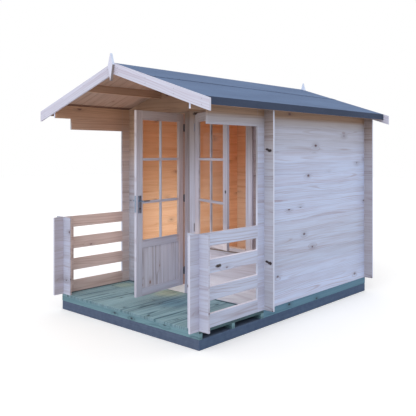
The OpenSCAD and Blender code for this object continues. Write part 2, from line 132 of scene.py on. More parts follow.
def painted_plinth():
    """Masonry paint on cast concrete: matt slate blue, with the faint level lines that the shutter
    boards leave and a chalky mottling; the long sides are painted darker and bluer, as shade."""
    board_mark = 0.015        # height of one board mark
    mottle = 0.045            # size of the chalky patches
    material, tree, shader = finish_of("slate_blue_masonry_paint", 0.85)
    coordinates = add(tree, "TexCoord")
    place = coordinates.outputs["Object"]
    level = add(tree, "Mapping", {"Vector": place, "Scale": (0.6, 0.6, 1 / board_mark)})
    marks = add(tree, "TexNoise", {"Vector": level, "Scale": 1.0, "Detail": 3.0})
    patches = add(tree, "TexNoise", {"Vector": place, "Scale": 1 / mottle, "Detail": 4.0})
    mottled = add(tree, "Math", {0: marks, 1: patches})
    shade = add(tree, "MapRange", {"Value": mottled, "From Min": 0.75, "From Max": 1.25})
    plain_face = add(tree, "Mix", {0: shade, 6: linear("#414E68"), 7: linear("#4F5D76")},
              data_type="RGBA")
    side_shade = add(tree, "Mix", {0: shade, 6: linear("#384B6A"), 7: linear("#455A77")},
               data_type="RGBA")
    facing = add(tree, "SeparateXYZ", {0: coordinates.outputs["Normal"]})
    long_side = add(tree, "Math", {0: facing.outputs["X"]}, operation="ABSOLUTE")
    colour = add(tree, "Mix", {0: long_side, 6: plain_face.outputs[2], 7: side_shade.outputs[2]},
                 data_type="RGBA")
    grit = add(tree, "Bump", {"Height": mottled, "Strength": 0.15, "Distance": 0.0010})
    tree.links.new(colour.outputs[2], shader.inputs["Base Color"])
    tree.links.new(grit.outputs[0], shader.inputs["Normal"])
    return material


plinth_low, plinth_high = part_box("base_plinth")
plinth = block("plinth_block", plinth_low, plinth_high, 0.006, 3)
fit(plinth, painted_plinth(), "cabin", "plinth", "base_plinth")


# ---- Bearers and joists -------------------------------------------------------------------
# Sawn softwood, pressure treated, which leaves it a dull green blue with the grain and the
# knots showing darker. The joists are nailed to the bearers and carry the deck.
def drawn_out(tree, grain, stretch, detail, low, high, least, most):
    """Noise drawn out along the boards. Its values from low to high become least to most."""
    laid = add(tree, "Mapping", {"Vector": grain, "Scale": stretch})
    noise = add(tree, "TexNoise", {"Vector": laid, "Scale": 1.0, "Detail": detail})
    return add(tree, "MapRange", {"Value": noise, "From Min": low, "From Max": high,
                                  "To Min": least, "To Max": most})


def timber(name, axes, board, first, tones, knots, ring=0.020, turned=None, fold=False,
           ends=None, end_shade=None, soft=None, large=(), roughness=0.62, seed=0.0,
           lines=0.7, uneven=1.0):
    """Sawn or planed softwood. axes name the directions along, across and through a board;
    each board's width is board, and one starts at first. tones is a list of a zone (None for
    the first) and its two colours, between the year rings and in them; a later zone lies over
    the earlier ones. knots are the colour, the spacing, the share of places that hold one, and
    the size. ring is the step from one ring to the next; real ones, 2 to 4 mm apart, are too
    fine to show, so each one drawn stands for five or more. turned is a pivot and the angles
    that lay the piece straight; fold gives both slopes of the roof one pattern. ends is the
    colour of the end grain, and where logs cross in one piece, how far along each of them it
    starts; the zone after it is painted shade where the end grain is left off, and soft is one
    where the knots haven't darkened. large knots each have a place and their reach each way.
    lines says how strongly the rings show, and uneven how far the boards differ in tone."""
    material, tree, shader = finish_of(name, roughness)
    coordinates = add(tree, "TexCoord")
    raw = coordinates.outputs["Object"]
    place = raw
    if fold:
        place = add(tree, "VectorMath", {0: place}, operation="ABSOLUTE")
    if turned:
        place = add(tree, "Mapping", {"Vector": place, "Location": turned[0],
                                      "Rotation": turned[1]}, vector_type="TEXTURE")
    split = add(tree, "SeparateXYZ", {0: place})
    along, across = split.outputs["XYZ".index(axes[0])], split.outputs["XYZ".index(axes[1])]
    facing = add(tree, "VectorMath", {0: coordinates.outputs["Normal"]}, operation="ABSOLUTE")
    facing = add(tree, "SeparateXYZ", {0: facing})
    is_end = None
    if ends:
        is_end = add(tree, "Math", {0: facing.outputs[axes[0]], 1: 0.7}, operation="GREATER_THAN")
    if ends and len(ends) > 1:                   # crossed logs: the grain follows the wider face
        front = is_end
        along = add(tree, "Mix", {0: front, 2: split.outputs["Y"], 3: split.outputs["X"]})
        tip = add(tree, "Math", {0: split.outputs["Y"], 1: ends[1]}, operation="LESS_THAN")
        side = add(tree, "Math", {0: split.outputs["X"]}, operation="ABSOLUTE")
        side = add(tree, "Math", {0: side, 1: ends[2]}, operation="GREATER_THAN")
        is_end = add(tree, "Mix", {0: front, 2: side, 3: tip})
    if end_shade:
        bright = add(tree, "Math", {0: 1.0, 1: end_shade(tree, raw)}, operation="SUBTRACT")
        is_end = add(tree, "Math", {0: is_end, 1: bright}, operation="MULTIPLY")

    count = add(tree, "Math", {0: across, 1: first}, operation="SUBTRACT")
    count = add(tree, "Math", {0: count, 1: board}, operation="DIVIDE")
    part = add(tree, "Math", {0: count}, operation="FRACT")
    number = add(tree, "Math", {0: count}, operation="FLOOR")
    number = add(tree, "Math", {0: number, 1: seed + 0.37})
    chance = add(tree, "TexWhiteNoise", {"W": number}, noise_dimensions="1D")
    chance = add(tree, "SeparateColor", {0: chance.outputs["Color"]})
    length = add(tree, "Math", {0: chance, 1: 9.0, 2: along}, operation="MULTIPLY_ADD")

    # The heart of the tree wanders across the board and nearer to its face, so the rings
    # show as long tongues in the middle and as close lines towards the edges.
    wander = add(tree, "TexNoise", {"W": length, "Scale": 0.6, "Detail": 1.0},
                 noise_dimensions="1D")
    wander = add(tree, "MapRange", {"Value": wander, "To Min": -0.5 * board,
                                    "To Max": 0.5 * board})
    middle = add(tree, "MapRange", {"Value": part, "To Min": -0.5 * board, "To Max": 0.5 * board})
    spread = add(tree, "MapRange", {"Value": chance.outputs[1], "To Min": -0.6 * board,
                                    "To Max": 0.6 * board})
    aside = add(tree, "Math", {0: wander, 1: middle})
    aside = add(tree, "Math", {0: aside, 1: spread})
    deep = add(tree, "TexNoise", {"W": length, "Scale": 0.4, "Detail": 1.0}, noise_dimensions="1D")
    deep = add(tree, "MapRange", {"Value": deep, "From Min": 0.25, "From Max": 0.75,
                                  "To Min": 0.02, "To Max": 0.07})
    heart = add(tree, "CombineXYZ", {0: aside, 1: deep})
    radius = add(tree, "VectorMath", {0: heart}, operation="LENGTH")
    grain = add(tree, "CombineXYZ", {0: length, 1: across, 2: number})
    ripple = drawn_out(tree, grain, (3, 18, 1), 2.0, 0.0, 1.0, 0.0, 0.008)     # up to 8 mm
    ripple = add(tree, "Math", {0: ripple, 1: radius.outputs["Value"]})

    # Knots stand at chance places, a little drawn out along the grain; the rings part
    # round them and a soft stain surrounds them.
    knot_colour, spacing, share, size = knots
    cells = add(tree, "Mapping", {"Vector": grain, "Scale": (0.55 / spacing, 1 / spacing, 0)})
    cells = add(tree, "TexVoronoi", {"Vector": cells, "Scale": 1.0}, voronoi_dimensions="2D")
    lot = add(tree, "SeparateColor", {0: cells.outputs["Color"]})
    holds = add(tree, "Math", {0: lot, 1: share}, operation="LESS_THAN")
    near = add(tree, "MapRange", {"Value": cells.outputs["Distance"], "From Min": 0.0,
                                  "From Max": 3.2 * size / spacing, "To Min": 1.0, "To Max": 0.0},
               interpolation_type="SMOOTHSTEP")
    near = add(tree, "Math", {0: near, 1: holds}, operation="MULTIPLY")
    rim = add(tree, "MapRange", {"Value": lot.outputs[1], "To Min": 0.35 * size / spacing,
                                 "To Max": size / spacing})
    core = add(tree, "MapRange", {"Value": cells.outputs["Distance"], "From Min": rim,
                                  "From Max": 0.0, "To Min": 0.0, "To Max": 2.0})
    strength = add(tree, "MapRange", {"Value": lot.outputs[2], "To Min": 0.6, "To Max": 1.0})
    strength = add(tree, "Math", {0: strength, 1: holds}, operation="MULTIPLY")
    core = add(tree, "Math", {0: core, 1: 1.0}, operation="MINIMUM")
    core = add(tree, "Math", {0: core, 1: strength}, operation="MULTIPLY", use_clamp=True)
    if soft:
        kept = add(tree, "Math", {0: soft(tree, raw), 1: -0.6, 2: 1.0}, operation="MULTIPLY_ADD")
        core = add(tree, "Math", {0: core, 1: kept}, operation="MULTIPLY")
    dead = 0.0
    if large:
        rag = add(tree, "TexNoise", {"Vector": raw, "Scale": 70.0, "Detail": 2.0})
    for centre, reach in large:
        away = add(tree, "Mapping", {"Vector": raw, "Location": centre, "Scale": reach},
                   vector_type="TEXTURE")
        away = add(tree, "VectorMath", {0: away}, operation="LENGTH")
        away = add(tree, "Math", {0: away.outputs["Value"], 1: rag})
        away = add(tree, "MapRange", {"Value": away, "From Min": 1.60, "From Max": 1.20})
        dead = add(tree, "Math", {0: away, 1: dead}, operation="MAXIMUM")

    rings = add(tree, "Math", {0: near, 1: -0.9 * size, 2: ripple}, operation="MULTIPLY_ADD")
    rings = add(tree, "Math", {0: rings, 1: 2 * pi / ring}, operation="MULTIPLY")
    rings = add(tree, "Math", {0: rings}, operation="SINE")
    rings = add(tree, "MapRange", {"Value": rings, "From Min": 0.5, "From Max": 1.0})

    # The rings fade in and out over about 60 mm of a board's width. Real fibres are well under
    # 1 mm, too fine to show, so they are drawn 7 mm wide, and the broad streaks are 33 mm.
    weight = drawn_out(tree, grain, (0.9, 16, 1), 3.0, 0.40, 0.68, 0.05, lines)
    rings = add(tree, "Math", {0: rings, 1: weight}, operation="MULTIPLY")
    fibre = drawn_out(tree, grain, (4, 150, 1), 2.0, 0.3, 0.8, 0.0, 0.3)
    streak = drawn_out(tree, grain, (1.1, 30, 1), 2.0, 0.42, 0.75, 0.0, 0.42)
    figure = add(tree, "Math", {0: fibre, 1: rings})
    figure = add(tree, "Math", {0: figure, 1: streak}, use_clamp=True)

    stain = add(tree, "Math", {0: near, 1: 0.30}, operation="MULTIPLY")
    stain = add(tree, "Math", {0: stain, 1: strength}, operation="MULTIPLY")
    layers = []
    for zone, pale, dark in tones:
        shade = add(tree, "Mix", {0: figure, 6: linear(pale), 7: linear(dark)}, data_type="RGBA")
        layers.append((zone(tree, raw) if zone else 1.0, shade.outputs[2]))
    layers += [(stain, linear(knot_colour)), (core, linear(knot_colour)),
               (dead, linear("#2A1F21"))]
    mixed = layers[0][1]
    for cover, colour in layers[1:]:
        mixed = add(tree, "Mix", {0: cover, 6: mixed, 7: colour}, data_type="RGBA").outputs[2]
    tone = add(tree, "TexNoise", {"Vector": grain, "Scale": 2.2, "Detail": 2.0})
    tone = add(tree, "Math", {0: tone, 1: chance.outputs[2]})
    tone = add(tree, "MapRange", {"Value": tone, "From Min": 0.2, "From Max": 1.4,
                                  "To Min": 1 - 0.07 * uneven, "To Max": 1 + 0.05 * uneven})
    mixed = add(tree, "HueSaturation", {"Value": tone, "Color": mixed}).outputs[0]
    if ends:
        mixed = add(tree, "Mix", {0: is_end, 6: mixed, 7: linear(ends[0])},
                    data_type="RGBA").outputs[2]
    tree.links.new(mixed, shader.inputs["Base Color"])
    relief = add(tree, "Bump", {"Height": figure, "Strength": 0.35, "Distance": 0.0005})
    tree.links.new(relief.outputs[0], shader.inputs["Normal"])
    return material


treated_knot = ("#1F2C38", 0.22, 0.9, 0.018)
joist_timber = timber("treated_softwood_joists", "XZY", 0.2, 0.0,
                      [(None, "#6C8F9B", "#466673")], treated_knot, roughness=0.75)
bearer_timber = timber("treated_softwood_bearers", "YZX", 0.2, 0.0,
                       [(None, "#5A8299", "#40667D")], treated_knot, roughness=0.75, seed=3)
coat_nodes(joist_timber, "veranda_joists")
coat_nodes(bearer_timber, "cabin_bearers")


# ---- Veranda deck -------------------------------------------------------------------------
# Sixteen treated boards laid front to back, a saw's width apart, and held to each joist by
# two countersunk screws.
def repeat(piece, count, step):
    """Lays out a row of count copies of a piece, step apart, and makes them real."""
    row = piece.modifiers.new("Row", "ARRAY")
    row.use_relative_offset = False
    row.use_constant_offset = True
    row.constant_offset_displace = step
    row.count = count
    bpy.context.view_layer.objects.active = piece
    bpy.ops.object.modifier_apply(modifier=row.name)
    return piece


deck_low, deck_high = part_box("veranda_deck")
deck_count = 16
deck_pitch = (deck_high.x - deck_low.x) / deck_count
deck_gap = 0.002


# A zone is a function of a material's tree and its object coordinates, and gives a node whose
# value is above 0 in one part of the cabin and 0 in all the rest.
def slab(axis, low, high):
    """A zone between two places along an axis."""
    def zone(tree, place):
        split = add(tree, "SeparateXYZ", {0: place})
        return add(tree, "Math", {0: split.outputs[axis], 1: (low + high) / 2,
                                  2: (high - low) / 2}, operation="COMPARE")
    return zone


def spot(x, y, inner, outer, most=1.0):
    """A zone within the inner distance of an upright line, fading out up to the outer one."""
    def zone(tree, place):
        flat = add(tree, "VectorMath", {0: place, 1: (1.0, 1.0, 0.0)}, operation="MULTIPLY")
        away = add(tree, "VectorMath", {0: flat, 1: (x, y, 0.0)}, operation="DISTANCE")
        return add(tree, "MapRange", {"Value": away.outputs["Value"], "From Min": outer,
                                      "From Max": inner, "To Max": most},
                   interpolation_type="SMOOTHSTEP")
    return zone


def outside(inner):
    """All that a zone leaves out."""
    def zone(tree, place):
        return add(tree, "Math", {0: 1.0, 1: inner(tree, place)}, operation="SUBTRACT")
    return zone


def both(first, *others):
    """The part that zones have in common."""
    def zone(tree, place):
        shared = first(tree, place)
        for other in others:
            shared = add(tree, "Math", {0: shared, 1: other(tree, place)}, operation="MULTIPLY")
        return shared
    return zone


# Painted shade lies along the foot of the rails and of the front wall. The room's light is
# painted paler and yellower on the deck at the doorway, the back corner beside it is painted
# paler and yellower too, and the open leaf's shadow is painted darker and bluer beside it.
# The boards' sawn front ends are duller.
rail_foot_shade = outside(both(slab("X", -0.925, 0.925), slab("Y", -1.5, -0.580)))
door_glow = spot(-0.17, -0.67, 0.06, 0.24, 0.8)
back_corner = spot(-0.80, -0.75, 0.03, 0.18, 0.6)
leaf_shadow = spot(0.14, -0.93, 0.05, 0.26, 0.65)
front_edge = slab("Y", -1.5, deck_low.y + 0.0004)

deck = block("veranda_boards", (deck_low.x, deck_low.y, deck_low.z),
             (deck_low.x + deck_pitch - deck_gap, deck_high.y, deck_high.z), 0.0015)
repeat(deck, deck_count, (deck_pitch + deck_gap / (deck_count - 1), 0, 0))
deck_timber = timber("treated_softwood_deck", "YXZ", deck_pitch, deck_low.x,
                     [(None, "#96B7C0", "#3E6272"), (rail_foot_shade, "#35525A", "#243C44"),
                      (door_glow, "#B6C2AA", "#7A948F"), (back_corner, "#AEBFA9", "#6C8A80"),
                      (leaf_shadow, "#6391A8", "#345D76"), (front_edge, "#748F9B", "#436672")],
                     ("#2B4448", 0.17, 0.6, 0.014), roughness=0.7, seed=7, lines=1.0, uneven=1.6)
fit(deck, deck_timber, "cabin", "treated_timber", "veranda_deck")


# ---- Cabin floor --------------------------------------------------------------------------
# Planed tongued boards laid front to back over the bearers, inside the log walls.
floor_low, floor_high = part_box("cabin_floor")
floor_count = 18
floor_pitch = (floor_high.x - floor_low.x) / floor_count
floor = block("floor_boards", floor_low, (floor_low.x + floor_pitch, floor_high.y, floor_high.z),
              0.0012)
repeat(floor, floor_count, (floor_pitch, 0, 0))
spruce_knot = ("#6B4133", 0.26, 0.36, 0.014)
# The floor's honey tone is painted warm light from the room.
fit(floor, timber("planed_spruce_floor", "YXZ", floor_pitch, floor_low.x,
                  [(None, "#E0AE88", "#BE8960")], spruce_knot, seed=11),
    "cabin", "floor_boards", "cabin_floor")


# ---- Log walls ----------------------------------------------------------------------------
# Planed spruce logs with a tongue and a shallow V between courses, notched over each other at
# the corners and left unpainted. Their tones carry painted light: lilac outside for the sky's
# blue light, painted shade browner under the roof, and honey in the room for its warm light.
course, deck_top = 0.114, deck_high.z
wall_low, wall_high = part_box("side_wall_right")
front_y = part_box("front_wall_right")[0].y


def rising(axis, start, end, most=1.0):
    """A zone that grows from 0 at the start of a stretch along an axis to most at its end."""
    def zone(tree, place):
        split = add(tree, "SeparateXYZ", {0: place})
        return add(tree, "MapRange", {"Value": split.outputs[axis], "From Min": start,
                                      "From Max": end, "To Max": most},
                   interpolation_type="SMOOTHSTEP")
    return zone


def in_porch(least, most, low=0.35, high=2.1, front=-1.6):
    """The surfaces that look onto the veranda. The zone goes evenly from least, at the low
    height and below, to most at the high one and above."""
    def height(tree, place):
        split = add(tree, "SeparateXYZ", {0: place})
        return add(tree, "MapRange", {"Value": split.outputs["Z"], "From Min": low,
                                      "From Max": high, "To Min": least, "To Max": most})
    half = wall_high.x - 0.0185
    return both(slab("X", -half, half), slab("Y", front, front_y + 0.010), height)


def either(first, second):
    """All that two zones cover between them."""
    def zone(tree, place):
        return add(tree, "Math", {0: first(tree, place), 1: second(tree, place)},
                   operation="MAXIMUM")
    return zone


room_half, room_back = wall_high.x - 0.010, 1.425        # within the walls' thickness
in_room = both(slab("X", -room_half, room_half), slab("Y", front_y + 0.010, room_back))
near_floor = both(in_room, rising("Z", 1.7, 0.9))       # lit back from the floor
eaves_shade = [(rising("Z", 1.45, 1.80), "#B3B8CC", "#9A949F"),
               (rising("Z", 1.84, 1.94), "#ADA7AC", "#918789"),
               (rising("Z", 1.93, 1.985), "#9C7F6A", "#7C614E")]
# Painted light and shade: shaded is the veranda's shade, and the honey and warm tones are the
# room's warm light, paler near its floor. End grain is paler, partly as painted light on it.
shaded = ("#DCC9C4", "#B89C93")
honey = ("#E4B48F", "#C7916A")
warm_low = ("#EFCCAD", "#D5A681")
far_honey = ("#CFA481", "#B58361")
far_low = ("#DAC7B3", "#C2A286")
log_knot = ("#4B2C33", 0.30, 0.50, 0.020)
end_grain = "#CDD3E8"

# The side logs are painted a little darker in a band low down. In front of the front wall
# stand their short ends, painted greyer in shade on the veranda side than the boards behind;
# the end grain stays in the shade on the lower logs of the veranda's beams, and on the wall's
# own ends towards the roof.
low_band = both(rising("Z", 0.40, 0.60), rising("Z", 1.10, 0.85))
corner_stub = slab("Y", -0.66, front_y + 0.001)
stub_inside = both(corner_stub, in_porch(0.6, 0.0, 1.45, 1.95))
stub_ends = slab("Y", wall_low.y - 0.0010, wall_low.y + 0.0005)
lower_beam = slab("Z", 1.85, 1.988)
shaded_ends = either(lower_beam, both(stub_ends, rising("Z", 1.0, 1.65)))

# All of the left rails but their outer skin carry the veranda's painted shade, and the upper
# edges of the right ones a painted highlight. The left post's side log is a little browner
# than its fellow.
left_rail = slab("X", 0.0005 - wall_high.x, 0.0)
rail_top_highlight = slab("X", wall_high.x - 0.018, wall_high.x - 0.001)
left_post = slab("X", -0.980, -0.9555)

# The gable over the door is in the deepest shade, and the side logs shade the narrow wall
# between the window and the corner. The sill's shadow is painted close under it; below it,
# the deck lights the lowest logs most. The narrow wall left of the door is greyer towards
# the deck.
over_door = both(rising("X", -0.97, -0.78), rising("X", 0.32, -0.05),
                 in_porch(0.0, 1.0, 2.05, 2.10))
beside_window = both(in_porch(1.0, 1.0), slab("X", 0.845, wall_high.x))
sill_shadow = both(slab("Y", -0.6, front_y + 0.005), slab("Z", 0.652, 0.676))
below_window = both(in_porch(1.0, 0.0, 0.60, 0.70), rising("Z", 0.30, 0.42))
left_of_door = both(slab("X", -wall_high.x, 0.2 - wall_high.x), rising("Z", 1.7, 0.9))
back_end = slab("Y", 1.3, 1.6)

# The logs' tones paint the eaves' and the veranda's shade browner, and the room's warm light honey.
side_log = timber("planed_spruce_side_logs", "YZX", course, deck_top,
                  [(None, "#BFCDEC", "#A39DB1"), (low_band, "#B7C3DE", "#9B93A2"),
                   (corner_stub, "#B9C3DE", "#9D94A5")] + eaves_shade +
                  [(in_porch(1.0, 1.0), *shaded),
                   (in_porch(0.0, 1.0, 1.15, 2.1), "#C29A7D", "#99735B"),
                   (stub_inside, "#D8D0D1", "#B4A29D"), (stub_ends, "#9F9DA6", "#8F8A92"),
                   (in_room, *honey), (near_floor, *warm_low)],
                  log_knot, ring=0.013, ends=(end_grain,), end_shade=shaded_ends, soft=in_room)
rail_log = timber("planed_spruce_rails", "YZX", course, deck_top,
                  [(None, "#BCC7E1", "#98909F"), (in_porch(1.0, 1.0), "#DAC8C4", "#B49A92"),
                   (left_rail, "#DAC8C4", "#B49A92"), (rail_top_highlight, "#E8E4EF", "#D2CBD8")],
                  log_knot, lines=0.8, large=(((0.976, -1.191, 0.667), (0.02, 0.042, 0.016)),),
                  seed=15)
# The cross logs are painted browner towards the roof and on the veranda, as shade.
cross_log = timber("planed_spruce_cross_logs", "XZY", course, deck_top,
                   [(None, "#B4B8C9", "#978B95"), (rising("Z", 1.45, 1.95), "#A7968A", "#836E60"),
                    (rising("Z", 2.02, 2.12), "#A98B70", "#84674F"),
                    (in_porch(0.1, 1.0, 1.0), "#C6A58C", "#9D7B67"),
                    (over_door, "#A2826B", "#80614D"), (beside_window, "#9B8B90", "#7D6E70"),
                    (in_porch(1.0, 0.0, 0.66, 0.74), "#FBF5FF", "#DCCEDB"),
                    (below_window, "#E2DCEA", "#C6B9C3"), (sill_shadow, "#AD988F", "#907669"),
                    (left_of_door, "#B9BDCD", "#9E96A1"), (in_room, *far_honey),
                    (near_floor, *far_low)],
                   log_knot, soft=in_room, seed=21)
# The log ends are painted darker towards the roof, as shade.
end_log = timber("planed_spruce_log_ends", "XZY", course, deck_top,
                 [(None, "#B1B6C6", "#928892"), (back_end, "#AAAAB6", "#8C7F86"),
                  (rising("Z", 1.40, 1.95), "#9F9290", "#7A6862")],
                 log_knot, ends=(end_grain,),
                 large=(((1.008, -0.544, 1.660), (0.019, 0.02, 0.012)),
                        ((1.037, -0.544, 1.649), (0.025, 0.02, 0.016)),
                        ((1.008, -0.544, 0.616), (0.020, 0.02, 0.013)),
                        ((1.041, -0.544, 0.606), (0.026, 0.02, 0.017))), seed=27)
post_log = timber("planed_spruce_post_logs", "YZX", course, deck_top,
                  [(None, "#B9BFD4", "#9D96A6"), (left_post, "#BFBCCC", "#A19596"),
                   (in_porch(0.9, 0.9, front=-1.425), *shaded)],
                  log_knot, ends=("#C4C5D6", -1.5, 1.2), seed=35, uneven=0.4)
coat_nodes(side_log, "side_wall_left", "side_wall_right", "side_beam_left", "side_beam_right")
coat_nodes(rail_log, "rails_left", "rails_right")
coat_nodes(cross_log, "back_wall", "front_wall_left", "front_wall_right",
           "front_wall_below_window", "front_gable")
coat_nodes(end_log, "front_log_ends", "back_log_ends")
coat_nodes(post_log, "front_post_left", "front_post_right")


# ---- Purlins and roof boards --------------------------------------------------------------
# Squared spruce purlins run the length of the roof. Tongued boards are nailed to them from
# the ridge to the eaves, and their V joints show from below.
def take(piece, kind):
    """Makes a piece the only one selected, with none of its points, edges or faces."""
    bpy.ops.object.select_all(action="DESELECT")
    piece.select_set(True)
    bpy.context.view_layer.objects.active = piece
    bpy.ops.object.mode_set(mode="EDIT")
    bpy.ops.mesh.select_mode(type=kind)
    bpy.ops.mesh.select_all(action="DESELECT")
    bpy.ops.object.mode_set(mode="OBJECT")


def pick_faces(piece, towards):
    """Leaves a piece in edit mode with only the faces that look one way selected."""
    take(piece, "FACE")
    for face in piece.data.polygons:
        face.select = face.normal.dot(Vector(towards)) > 0.9
    bpy.ops.object.mode_set(mode="EDIT")


def pick_edges(piece, along):
    """Leaves a piece in edit mode with only the edges that run one way selected."""
    take(piece, "EDGE")
    points = piece.data.vertices
    for edge in piece.data.edges:
        run = (points[edge.vertices[0]].co - points[edge.vertices[1]].co).normalized()
        edge.select = abs(run.dot(Vector(along).normalized())) > 0.99
    bpy.ops.object.mode_set(mode="EDIT")


def mirrored(piece):
    """Adds the same piece on the other side of the ridge line."""
    other = piece.modifiers.new("Other side", "MIRROR")
    other.use_mirror_merge = False
    bpy.context.view_layer.objects.active = piece
    bpy.ops.object.modifier_apply(modifier=other.name)
    return piece


pitch = radians(18.25)
board_thick, board_count = 0.016, 32
roof_low, roof_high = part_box("roof_boards")
board_pitch = (roof_high.y - roof_low.y) / board_count
upright_thick = board_thick / cos(pitch)
fall = roof_high.z - upright_thick - roof_low.z
# Seen only from below, the purlins and roof boards are painted in the brown of the roof's shade,
# and honey in the room for its warm light.
purlin_wood = timber("planed_spruce_purlins", "YZX", 0.1, 2.2,
                     [(None, "#B4917A", "#865F49"), (in_room, "#CE9468", "#9C6340")],
                     spruce_knot, seed=43)
coat_nodes(purlin_wood, "ridge_purlin", "side_purlins", "eave_battens")

# The shadow where the roof boards come down on the side beams of the veranda
over_plate = both(either(slab("X", 0.905, 1.0), slab("X", -1.0, -0.905)),
                  slab("Y", -1.6, front_y))
boarding = sawn("roof_boarding", (0.0003, roof_low.y, roof_high.z - upright_thick),
                (roof_high.x, roof_low.y + board_pitch, roof_high.z))
pick_faces(boarding, (1, 0, 0))
bpy.ops.transform.translate(value=(0, 0, -fall))
bpy.ops.object.mode_set(mode="OBJECT")
pick_edges(boarding, (cos(pitch), 0, -sin(pitch)))
bpy.ops.mesh.bevel(offset=0.003, segments=1, affect="EDGES")
bpy.ops.object.mode_set(mode="OBJECT")
repeat(boarding, board_count, (0, board_pitch, 0))
mirrored(boarding)
roof_wood = timber("planed_spruce_roof_boards", "XYZ", board_pitch, roof_low.y,
                   [(None, "#AD9081", "#8A6E5F"), (over_plate, "#6B4D3D", "#553A2E"),
                    (in_room, "#D79C6E", "#A66A45")],
                   spruce_knot, turned=((0, 0, 0), (0, pitch, 0)), fold=True, seed=51)
fit(boarding, roof_wood, "cabin", "roof_timber", "roof_boards")


# ---- Roofing felt -------------------------------------------------------------------------
# Mineral felt in two sheets, lapped by a ridge strip and folded down over the eaves, and
# nailed through with broad-headed galvanised clouts along the laps and the bands.
def mineral_felt():
    """Bitumen felt faced with crushed slate: matt blue grey with a fine speckle of granules,
    soft waves in the sheet, and a darker fold where the band hangs in its own shade."""
    granule = 0.004           # real granules are 1 mm, too fine to show, so four times as coarse
    material, tree, shader = finish_of("slate_faced_roofing_felt", 0.9)
    coordinates = add(tree, "TexCoord")
    place = coordinates.outputs["Object"]
    speck = add(tree, "TexVoronoi", {"Vector": place, "Scale": 1 / granule})
    speck_tone = add(tree, "SeparateColor", {0: speck.outputs["Color"]})
    sheet = add(tree, "Mapping", {"Vector": place, "Scale": (3, 0.8, 3)})
    sheet = add(tree, "TexNoise", {"Vector": sheet, "Scale": 1.5, "Detail": 5.0})
    mixed = add(tree, "Math", {0: speck_tone, 1: 0.35, 2: sheet}, operation="MULTIPLY_ADD")
    shade = add(tree, "MapRange", {"Value": mixed, "From Min": 0.35, "From Max": 1.0})
    top = add(tree, "Mix", {0: shade, 6: linear("#4E6488"), 7: linear("#60799F")},
              data_type="RGBA")
    band = add(tree, "Mix", {0: shade, 6: linear("#28344B"), 7: linear("#37445E")},
               data_type="RGBA")
    facing = add(tree, "SeparateXYZ", {0: coordinates.outputs["Normal"]})
    flat = add(tree, "Math", {0: facing.outputs["Z"], 1: 0.5}, operation="GREATER_THAN")
    colour = add(tree, "Mix", {0: flat, 6: band.outputs[2], 7: top.outputs[2]}, data_type="RGBA")
    rough = add(tree, "Bump", {"Height": mixed, "Strength": 0.5, "Distance": 0.001})
    tree.links.new(colour.outputs[2], shader.inputs["Base Color"])
    tree.links.new(rough.outputs[0], shader.inputs["Normal"])
    return material


def drab_metal(name, dark, bright, roughness, grain):
    """Metal with a satin surface: faint cloudy tone, and roughness that varies with it."""
    material, tree, shader = finish_of(name, roughness, metallic=1.0)
    place = add(tree, "TexCoord").outputs["Object"]
    cloud = add(tree, "TexNoise", {"Vector": place, "Scale": 1 / grain, "Detail": 3.0})
    colour = add(tree, "Mix", {0: cloud, 6: linear(dark), 7: linear(bright)}, data_type="RGBA")
    sheen = add(tree, "MapRange", {"Value": cloud, "To Min": roughness - 0.08,
                                   "To Max": roughness + 0.08})
    tree.links.new(colour.outputs[2], shader.inputs["Base Color"])
    tree.links.new(sheen.outputs[0], shader.inputs["Roughness"])
    return material


def rod(name, sides, radius, length, middle, turn=(0, 0, 0)):
    """A round bar, its ends left sharp; it is upright unless it is turned."""
    bpy.ops.object.select_all(action="DESELECT")
    bpy.ops.mesh.primitive_cylinder_add(vertices=sides, radius=radius, depth=length,
                                        location=middle, rotation=turn)
    return settled(name)


def ease_rim(piece, towards, ease, steps=1):
    """Bevels the rim of the face of a piece that looks one way."""
    pick_faces(piece, towards)
    bpy.ops.mesh.bevel(offset=ease, segments=steps, affect="EDGES")
    bpy.ops.object.mode_set(mode="OBJECT")


def sink(piece, towards, rim, depth):
    """Sinks the middle of that face, inside a rim of some width."""
    pick_faces(piece, towards)
    bpy.ops.mesh.inset(thickness=rim)
    bpy.ops.mesh.extrude_region_move(
        TRANSFORM_OT_translate={"value": Vector(towards) * -depth})
    bpy.ops.object.mode_set(mode="OBJECT")


def stud(name, place, axis, proud, recess=0.0):
    """A round head that stands proud of a face: a disc with an eased rim and, for a screw, a
    recess for the driver. place is the middle of its underside and axis the way it faces."""
    axis = Vector(axis)
    turn = Vector((0, 0, 1)).rotation_difference(axis).to_euler()
    made = rod(name, 10, head_radius, proud, Vector(place) + axis * proud / 2, turn)
    ease_rim(made, axis, proud * 0.4)
    if recess:
        sink(made, axis, head_radius - recess, proud * 0.6)
    return made


felt_low, felt_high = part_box("felt_sheets")
coat_nodes(mineral_felt(), "felt_sheets", "felt_ridge")
galvanised = drab_metal("galvanised_clout_nails", "#333C4B", "#4A5566", 0.6, 0.006)
head_radius, nail_proud, nail_gap, nail_count = 0.0042, 0.0012, 0.15, 21
nail_y = felt_low.y + 0.059
ridge_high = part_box("felt_ridge")[1]
lap_x = ridge_high.x - 0.020
lap_z = ridge_high.z - lap_x * fall / roof_high.x + 0.0033
for name, place, axis in (
        ("felt_band_nails", (felt_high.x - 0.0002, nail_y, felt_low.z + 0.030), (1, 0, 0)),
        ("felt_lap_nails", (lap_x, nail_y, lap_z - 0.0002), (sin(pitch), 0, cos(pitch)))):
    nails = repeat(stud(name, place, axis, nail_proud), nail_count, (0, nail_gap, 0))
    fit(mirrored(nails), galvanised, "cabin", "hinge_metal")


